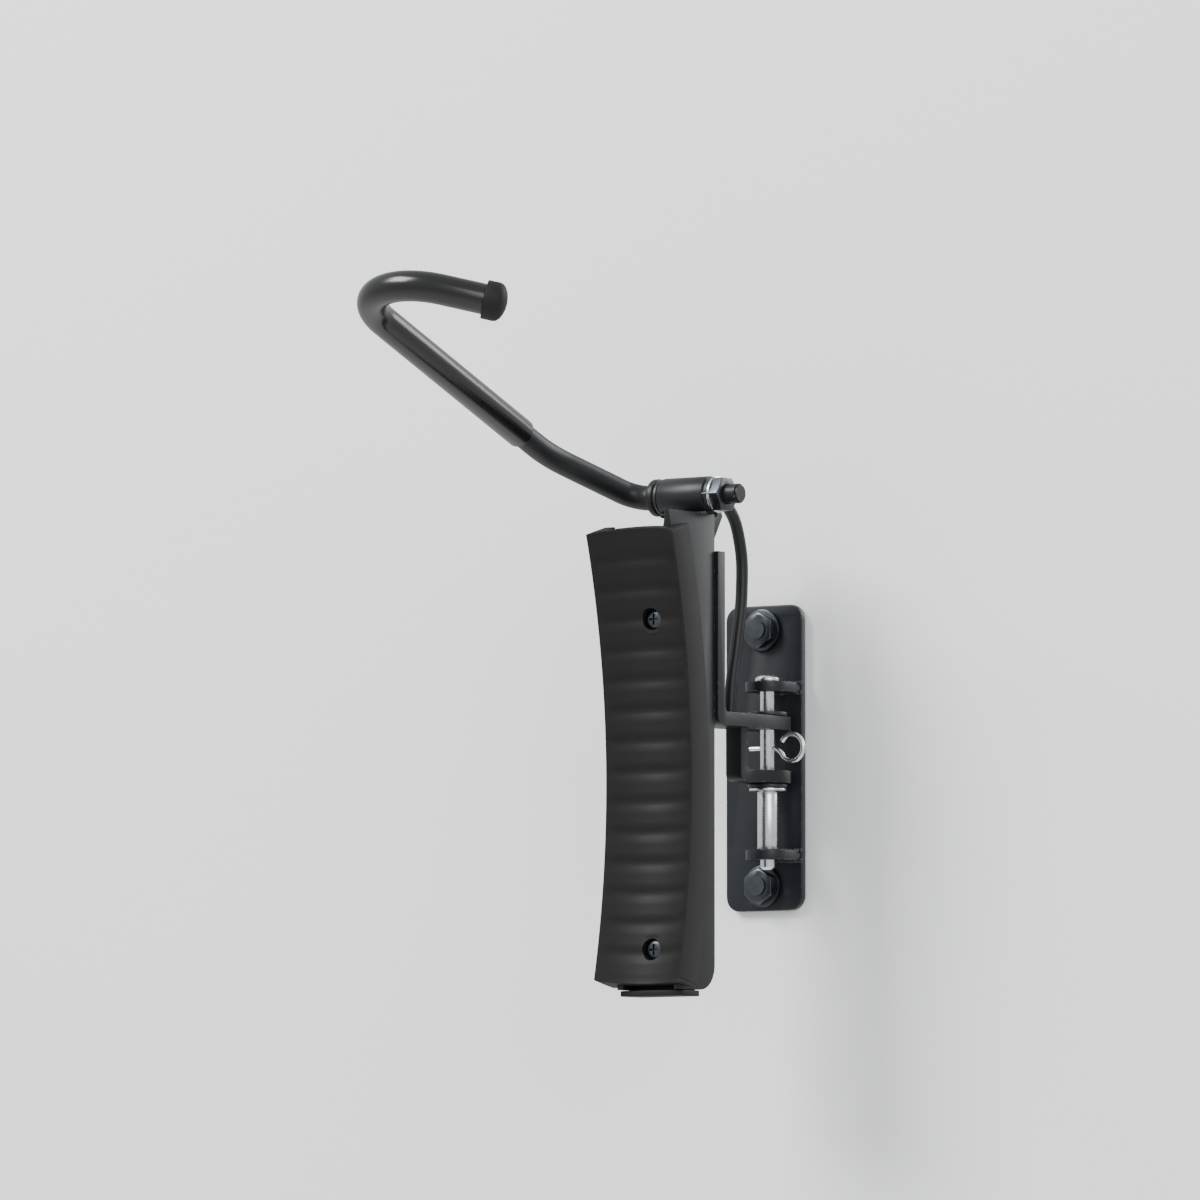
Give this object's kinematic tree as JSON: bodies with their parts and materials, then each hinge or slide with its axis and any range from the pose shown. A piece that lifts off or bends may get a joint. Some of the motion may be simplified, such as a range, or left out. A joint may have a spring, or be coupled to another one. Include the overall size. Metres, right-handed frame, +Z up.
{
  "type": "bicycle wall rack",
  "caption": "Wall plate with an upright hinge pin, a swinging spine with a curved tyre cradle, and a folding J-shaped hook arm that holds a bicycle's front wheel against the wall.",
  "frame": {"origin": "centre of the wall plate's back face, on the wall", "axes": "+Z up, +Y into the wall, -Y out into the room, +X to the right for someone facing the wall; the wheel's plane is X = 0"},
  "size_m": [0.0733, 0.2419, 0.278],
  "materials": {
    "plate_coat": "satin black powder coat with a blue cast",
    "frame_coat": "satin charcoal powder coat",
    "sleeve_black": "glossy black tube",
    "cradle_black": "moulded black rubber",
    "bush_nylon": "black nylon",
    "bright_zinc": "bright zinc plated steel",
    "black_zinc": "black zinc plated steel"
  },
  "bodies": {
    "wall_bracket": {"wall_plate": "plate_coat", "upper_hinge_lug": "plate_coat", "lower_hinge_lug": "plate_coat", "hinge_pin": "bright_zinc", "pin_spacer": "bright_zinc", "thrust_washer": "bright_zinc", "pin_clip": "bright_zinc", "wall_screw_upper": "black_zinc", "wall_screw_lower": "black_zinc", "screw_washer_upper": "black_zinc", "screw_washer_lower": "black_zinc"},
    "swing_frame": {"swing_bracket": "frame_coat", "upper_bush": "bush_nylon", "lower_bush": "bush_nylon", "spine": "frame_coat", "bracket_bolt_upper": "black_zinc", "bracket_bolt_lower": "black_zinc", "bracket_nut_upper": "black_zinc", "bracket_nut_lower": "black_zinc", "tyre_cradle": "cradle_black", "cradle_screw_upper": "black_zinc", "cradle_screw_lower": "black_zinc", "spine_end_cap": "cradle_black", "pivot_barrel": "frame_coat", "barrel_bush_left": "bush_nylon", "barrel_bush_right": "bush_nylon", "rear_brace": "frame_coat", "barrel_gusset": "frame_coat"},
    "hook_arm": {"arm_rod": "frame_coat", "hook_sleeve": "sleeve_black", "hook_tip": "cradle_black", "arm_collar": "frame_coat", "friction_washer": "bright_zinc", "axle_nut": "black_zinc"}
  },
  "joints": [
    {"name": "swing", "type": "hinge", "parent": "wall_bracket", "child": "swing_frame", "pos_m": [0.009, -0.0135, 0], "axis": [0, 0, 1], "range_deg": [-50, 76]},
    {"name": "arm_fold", "type": "hinge", "parent": "swing_frame", "child": "hook_arm", "pos_m": [0, -0.061, 0.1025], "axis": [1, 0, 0], "range_deg": [-60, 97]}
  ]
}
